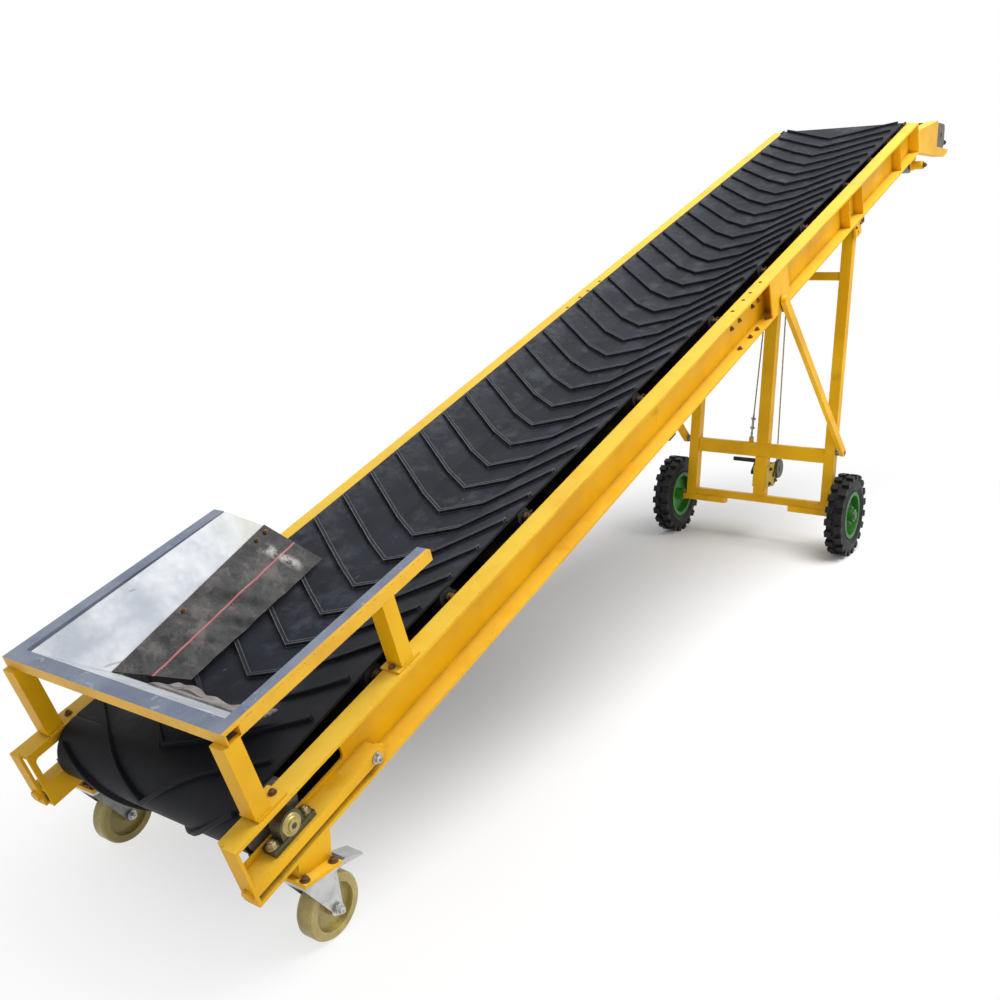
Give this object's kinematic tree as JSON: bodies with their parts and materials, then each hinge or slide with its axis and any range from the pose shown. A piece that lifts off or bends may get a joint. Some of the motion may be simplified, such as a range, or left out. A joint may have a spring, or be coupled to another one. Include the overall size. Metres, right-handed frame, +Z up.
{
  "type": "portable belt conveyor",
  "caption": "Inclined troughed belt conveyor with a ribbed belt, feed table, two swivel castors and a winch-set two-wheel undercarriage.",
  "frame": {"origin": "floor point below the middle of the whole machine", "axes": "+X from the feed end to the discharge end, +Y to the left, +Z up"},
  "size_m": [5.6449, 1.007, 2.1448],
  "materials": {
    "belt_rubber": "matt, dusty",
    "steel": "dull plated",
    "yellow_paint": "satin, worn at the edges",
    "castor_tread": "matt polyurethane",
    "skirt_rubber": "matt, scuffed",
    "sheet_steel": "galvanised",
    "cast": "dark, oily",
    "green_paint": "satin",
    "tyre_rubber": "matt",
    "winch_paint": "satin"
  },
  "bodies": {
    "boom": {"belt": "belt_rubber", "castor_mounts": "yellow_paint", "castor_plates": "steel", "chevrons": "belt_rubber", "cross_members": "yellow_paint", "front_flap": "skirt_rubber", "front_sheet": "sheet_steel", "head_bearings": "cast", "head_boxes": "yellow_paint", "head_pulley": "steel", "head_screws": "steel", "head_tie": "yellow_paint", "idler_frames": "yellow_paint", "idler_rolls": "steel", "joint_plates": "yellow_paint", "left_sheet": "sheet_steel", "leg_hinges": "yellow_paint", "return_hangers": "yellow_paint", "return_rollers": "steel", "side_channels": "yellow_paint", "skirt_strip": "skirt_rubber", "slide_pads": "yellow_paint", "snub_brackets": "yellow_paint", "splice_plates": "yellow_paint", "table_front_rail": "yellow_paint", "table_posts": "yellow_paint", "table_side_rails": "yellow_paint", "tail_bearings": "cast", "tail_pulley": "steel", "tail_straps": "yellow_paint", "takeup_guides": "yellow_paint", "takeup_screws": "steel", "web_stiffeners": "yellow_paint"},
    "undercarriage": {"leg_posts": "yellow_paint", "leg_bars": "yellow_paint", "leg_mid_post": "yellow_paint", "stub_axles": "steel", "brace_pins": "steel", "winch_frame": "winch_paint", "winch_drum": "cast", "winch_handle": "steel", "rope_anchor": "yellow_paint"},
    "brace_pair": {"braces": "yellow_paint"},
    "wheel_left": {"tyre_left": "tyre_rubber", "rim_left": "green_paint"},
    "wheel_right": {"tyre_right": "tyre_rubber", "rim_right": "green_paint"},
    "castor_left": {"castor_fork_left": "steel"},
    "castor_right": {"castor_fork_right": "steel"},
    "castor_wheel_left": {"castor_wheel_left": "castor_tread"},
    "castor_wheel_right": {"castor_wheel_right": "castor_tread"}
  },
  "joints": [
    {"name": "undercarriage_hinge", "type": "hinge", "parent": "boom", "child": "undercarriage", "pos_m": [1.14958, 0, 1.54578], "axis": [0, 1, 0], "range_deg": [-3, 14]},
    {"name": "brace_hinge", "type": "hinge", "parent": "undercarriage", "child": "brace_pair", "pos_m": [1.04895, 0, 0.50061], "axis": [0, 1, 0], "range_deg": [-26, 6]},
    {"name": "wheel_left_spin", "type": "hinge", "parent": "undercarriage", "child": "wheel_left", "pos_m": [1.02, 0.4515, 0.2], "axis": [0, 1, 0], "continuous": true},
    {"name": "castor_left_swivel", "type": "hinge", "parent": "boom", "child": "castor_left", "pos_m": [-2.6095, 0.372, 0.188], "axis": [0, 0, 1], "continuous": true},
    {"name": "castor_left_spin", "type": "hinge", "parent": "castor_left", "child": "castor_wheel_left", "pos_m": [-2.5515, 0.372, 0.08], "axis": [0, 1, 0], "continuous": true},
    {"name": "wheel_right_spin", "type": "hinge", "parent": "undercarriage", "child": "wheel_right", "pos_m": [1.02, -0.4515, 0.2], "axis": [0, 1, 0], "continuous": true},
    {"name": "castor_right_swivel", "type": "hinge", "parent": "boom", "child": "castor_right", "pos_m": [-2.6095, -0.372, 0.188], "axis": [0, 0, 1], "continuous": true},
    {"name": "castor_right_spin", "type": "hinge", "parent": "castor_right", "child": "castor_wheel_right", "pos_m": [-2.5515, -0.372, 0.08], "axis": [0, 1, 0], "continuous": true}
  ],
  "couplings": [
    {"joint": "brace_hinge", "follows": "undercarriage_hinge", "ratio": -1.79}
  ]
}
